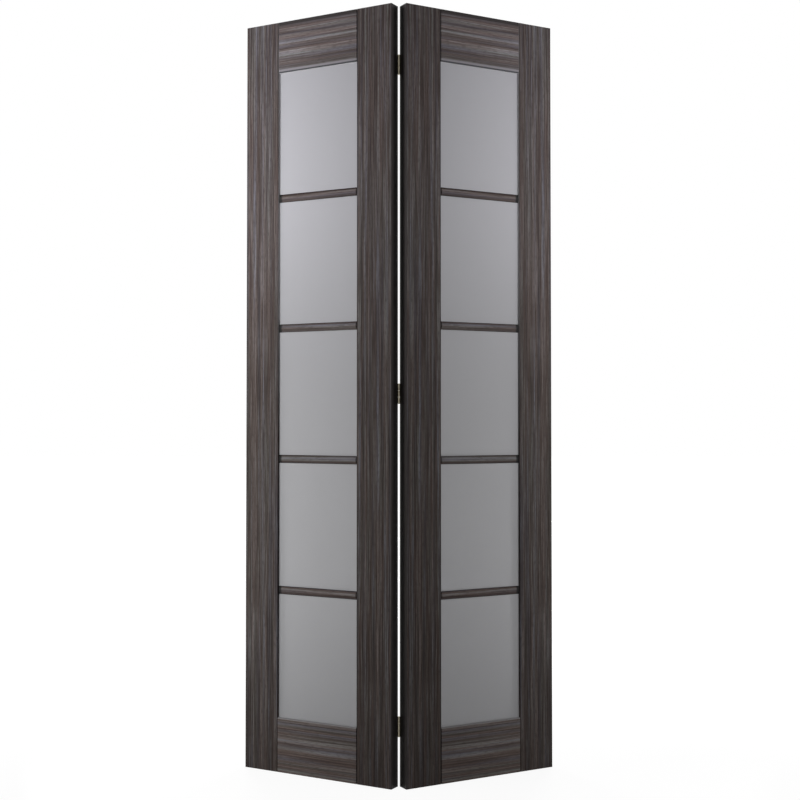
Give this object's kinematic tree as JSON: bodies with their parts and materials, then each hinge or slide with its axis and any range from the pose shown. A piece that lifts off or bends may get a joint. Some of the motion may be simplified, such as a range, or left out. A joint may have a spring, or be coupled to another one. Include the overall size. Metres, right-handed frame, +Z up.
{
  "type": "glass folding door",
  "caption": "Folding door of paired leaves, each with frosted panes between glazing bars in stiles and rails, hinged on the back of the fold and standing part folded.",
  "frame": {"origin": "on the floor, at the centre of the door's box as it stands part folded", "axes": "+Z up the leaves, +X from the left leaf to the right leaf, +Y from the fold, which faces the viewer, back to the jamb edges"},
  "size_m": [0.8386, 0.2512, 2.032],
  "materials": {
    "stile_laminate": "grey-brown streaky oak laminate, upright grain, satin",
    "rail_laminate": "grey-brown streaky oak laminate, level grain, satin",
    "bar_laminate": "grey-brown oak laminate wrapped on small mouldings, satin",
    "edge_band": "near-black hard edging, plain matte",
    "frosted_glass": "satin etched, cool white",
    "hinge_metal": "pale satin plated brass"
  },
  "bodies": {
    "root": {"left_fold_stile": "stile_laminate", "left_jamb_stile": "stile_laminate", "left_top_rail": "rail_laminate", "left_bottom_rail": "rail_laminate", "left_fold_edge_band": "edge_band", "left_jamb_edge_band": "edge_band", "left_bar_1": "bar_laminate", "left_bar_2": "bar_laminate", "left_bar_3": "bar_laminate", "left_bar_4": "bar_laminate", "left_pane_1": "frosted_glass", "left_pane_2": "frosted_glass", "left_pane_3": "frosted_glass", "left_pane_4": "frosted_glass", "left_pane_5": "frosted_glass", "left_cross_beads": "bar_laminate", "left_upright_beads": "bar_laminate", "right_fold_stile": "stile_laminate", "right_jamb_stile": "stile_laminate", "right_top_rail": "rail_laminate", "right_bottom_rail": "rail_laminate", "right_fold_edge_band": "edge_band", "right_jamb_edge_band": "edge_band", "right_bar_1": "bar_laminate", "right_bar_2": "bar_laminate", "right_bar_3": "bar_laminate", "right_bar_4": "bar_laminate", "right_pane_1": "frosted_glass", "right_pane_2": "frosted_glass", "right_pane_3": "frosted_glass", "right_pane_4": "frosted_glass", "right_pane_5": "frosted_glass", "right_cross_beads": "bar_laminate", "right_upright_beads": "bar_laminate", "top_hinge_left_plate": "hinge_metal", "top_hinge_right_plate": "hinge_metal", "top_hinge_pin": "hinge_metal", "middle_hinge_left_plate": "hinge_metal", "middle_hinge_right_plate": "hinge_metal", "middle_hinge_pin": "hinge_metal", "bottom_hinge_left_plate": "hinge_metal", "bottom_hinge_right_plate": "hinge_metal", "bottom_hinge_pin": "hinge_metal"}
  },
  "joints": []
}
